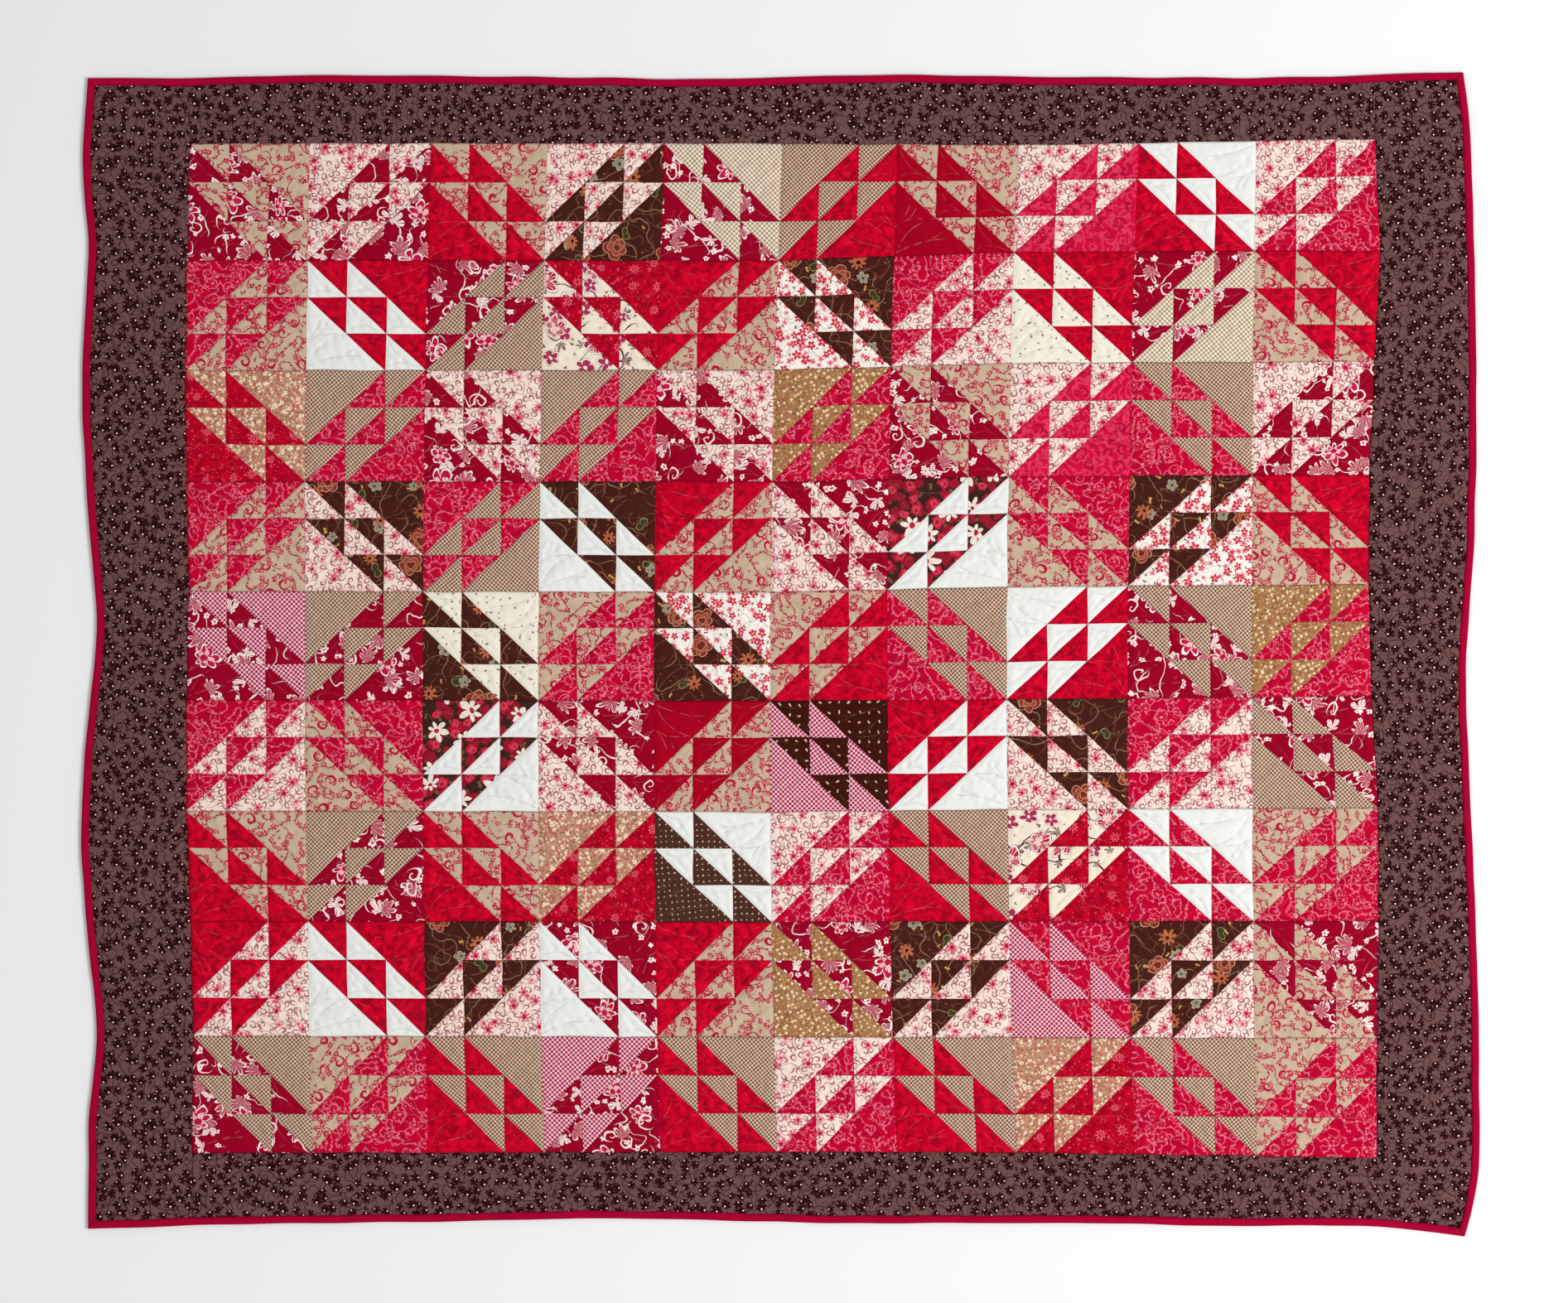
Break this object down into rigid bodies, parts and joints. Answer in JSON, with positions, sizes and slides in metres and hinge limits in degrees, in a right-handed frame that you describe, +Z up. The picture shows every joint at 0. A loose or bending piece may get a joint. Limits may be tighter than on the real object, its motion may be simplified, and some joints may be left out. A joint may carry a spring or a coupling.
{
  "type": "patchwork quilt",
  "caption": "Flat patchwork quilt of half-square triangle blocks in red and cream prints, with a wide floral border and a narrow mitred binding. Each patch stands up between its seams.",
  "frame": {"origin": "on the surface that the quilt lies on, under the middle of its outline", "axes": "+X along the quilt's width, which is its longest side, +Y towards its top edge, +Z up through its thickness"},
  "size_m": [1.8383, 1.531, 0.0069],
  "materials": {
    "patchwork": "matt quilting cotton prints in crimson, raspberry, cream, tan and brown, pieced and machine quilted",
    "border_cloth": "matt quilting cotton, taupe-brown with small dark maroon flowers",
    "binding_cloth": "matt crimson quilting cotton, folded double"
  },
  "bodies": {
    "root": {"pieced_centre": "patchwork", "border_left": "border_cloth", "border_right": "border_cloth", "border_top": "border_cloth", "border_bottom": "border_cloth", "binding_left": "binding_cloth", "binding_right": "binding_cloth", "binding_top": "binding_cloth", "binding_bottom": "binding_cloth"}
  },
  "joints": []
}
